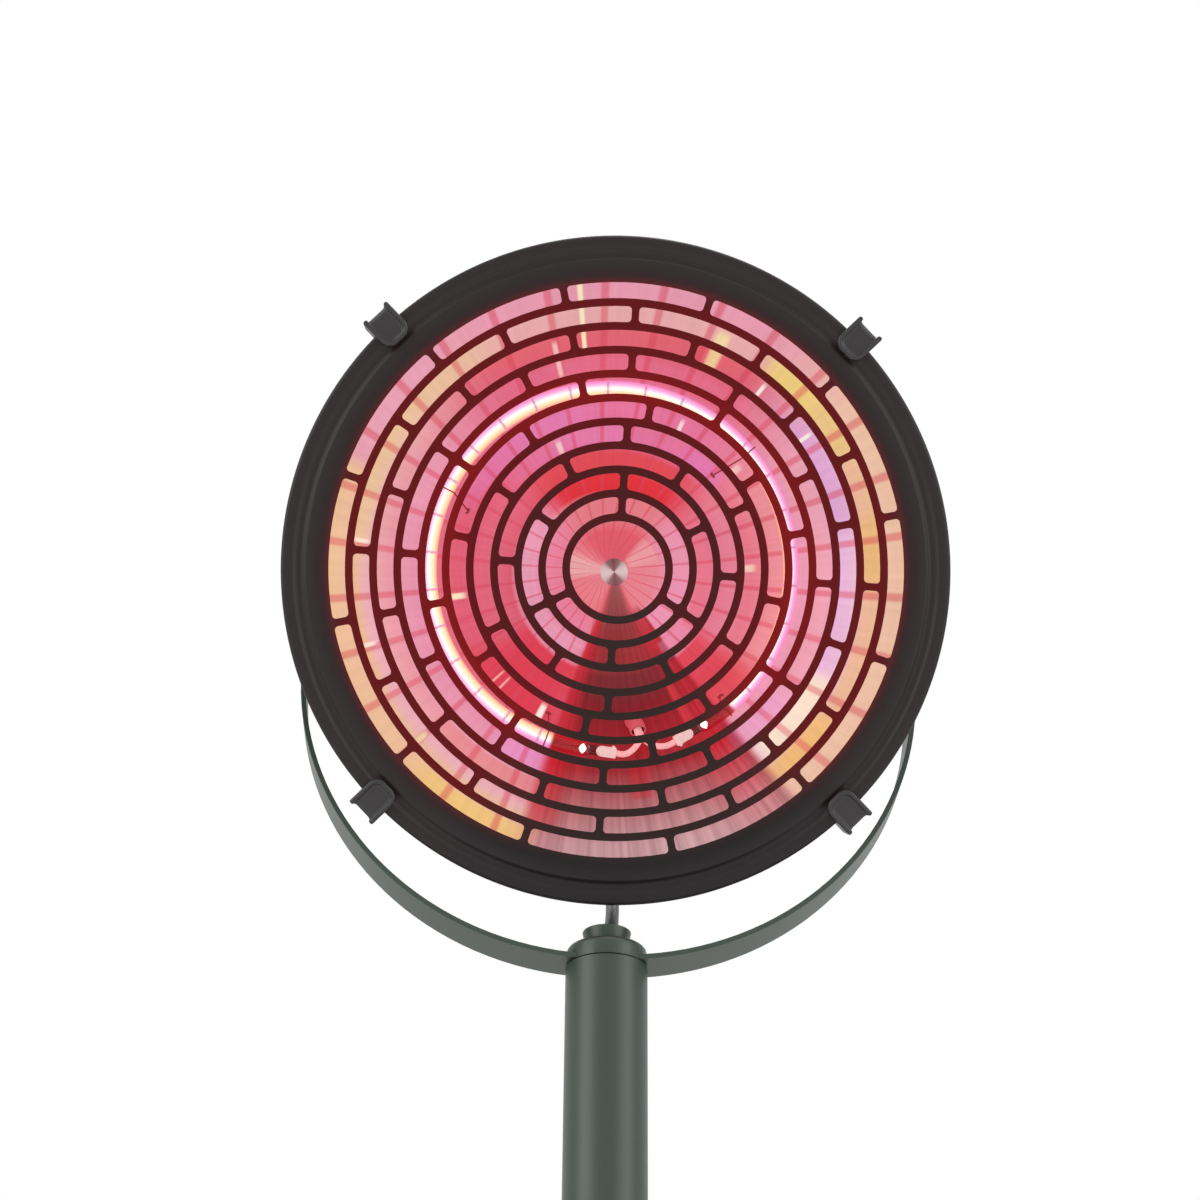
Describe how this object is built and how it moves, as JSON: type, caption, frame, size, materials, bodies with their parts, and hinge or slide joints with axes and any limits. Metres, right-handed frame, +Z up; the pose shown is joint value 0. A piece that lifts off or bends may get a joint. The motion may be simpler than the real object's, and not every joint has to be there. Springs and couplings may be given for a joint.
{
  "type": "electric patio heater",
  "caption": "Free-standing electric patio heater: round halogen head behind a slotted grille, tilting in a U-shaped yoke on a tubular post with a round base.",
  "frame": {"origin": "on the floor, under the axis of the post, at the centre of the round base", "axes": "+Z up along the post; the heater head faces -Y and looks down; +X is to the right as one faces the lamp, and the tilt axis runs along X"},
  "size_m": [0.4599, 0.46, 2.0653],
  "materials": {
    "green_paint": "satin",
    "black_paint": "satin",
    "plated_steel": "zinc plated",
    "tungsten": "drawn wire",
    "spun_aluminium": "spun and brushed",
    "quartz": "clear",
    "ceramic": "unglazed",
    "sleeving": "woven glass sleeve",
    "black_rubber": "matte",
    "black_plastic": "fine grain",
    "washer_nylon": "plain",
    "gasket_fibre": "woven fibre",
    "core_sleeve": "plain"
  },
  "bodies": {
    "post": {"base_plate": "green_paint", "base_feet": "black_rubber", "post_collar": "green_paint", "collar_screws": "plated_steel", "lower_post": "green_paint", "upper_post": "green_paint", "post_joint": "plated_steel", "post_screws": "plated_steel", "lead_gland": "black_rubber", "post_lead": "black_rubber", "swivel_plug": "plated_steel", "swivel_washer": "washer_nylon"},
    "yoke": {"yoke": "green_paint", "swivel_cap": "green_paint", "cable_funnel": "green_paint", "swivel_nut": "plated_steel"},
    "head": {"head_housing": "black_paint", "front_grille": "black_paint", "rim_clips": "black_paint", "clip_screws": "plated_steel", "rim_gasket": "gasket_fibre", "reflector": "spun_aluminium", "lamp_tube": "quartz", "lamp_filament": "tungsten", "filament_supports": "tungsten", "lamp_caps": "ceramic", "lamp_holders": "plated_steel", "lead_bushing": "ceramic", "lamp_leads": "sleeving", "heat_shield": "plated_steel", "shield_posts": "plated_steel", "shield_screws": "plated_steel", "thermal_cutout": "ceramic", "cross_bracket": "black_paint", "bracket_screws": "plated_steel", "tilt_studs": "plated_steel", "tilt_washers": "washer_nylon", "terminal_box": "black_paint", "box_screws": "plated_steel", "wire_grommet": "black_rubber", "terminal_block": "ceramic", "tip_switch": "black_plastic", "cover_gasket": "gasket_fibre", "rear_cover": "black_paint", "cover_screws": "plated_steel", "switch_body": "black_plastic", "rocker_pin": "plated_steel", "cable_gland": "black_rubber", "lead_boot": "black_rubber", "supply_cores": "core_sleeve", "supply_lead": "black_rubber"},
    "left_knob": {"left_knob": "black_plastic"},
    "right_knob": {"right_knob": "black_plastic"},
    "rocker": {"rocker": "black_plastic"}
  },
  "joints": [
    {"name": "yoke_swivel", "type": "hinge", "parent": "post", "child": "yoke", "pos_m": [0, 0, 1.66], "axis": [0, 0, 1], "range_deg": [-90, 90]},
    {"name": "head_tilt", "type": "hinge", "parent": "yoke", "child": "head", "pos_m": [0, 0, 1.9282], "axis": [1, 0, 0], "range_deg": [-36, 9], "deforming": ["supply_lead"]},
    {"name": "left_knob_turn", "type": "hinge", "parent": "head", "child": "left_knob", "pos_m": [-0.19, 0, 1.9282], "axis": [1, 0, 0], "continuous": true},
    {"name": "right_knob_turn", "type": "hinge", "parent": "head", "child": "right_knob", "pos_m": [0.19, 0, 1.9282], "axis": [1, 0, 0], "continuous": true},
    {"name": "switch_rocker", "type": "hinge", "parent": "head", "child": "rocker", "pos_m": [0.016, 0.04829, 1.97744], "axis": [1, 0, 0], "range_deg": [0, 16]}
  ]
}
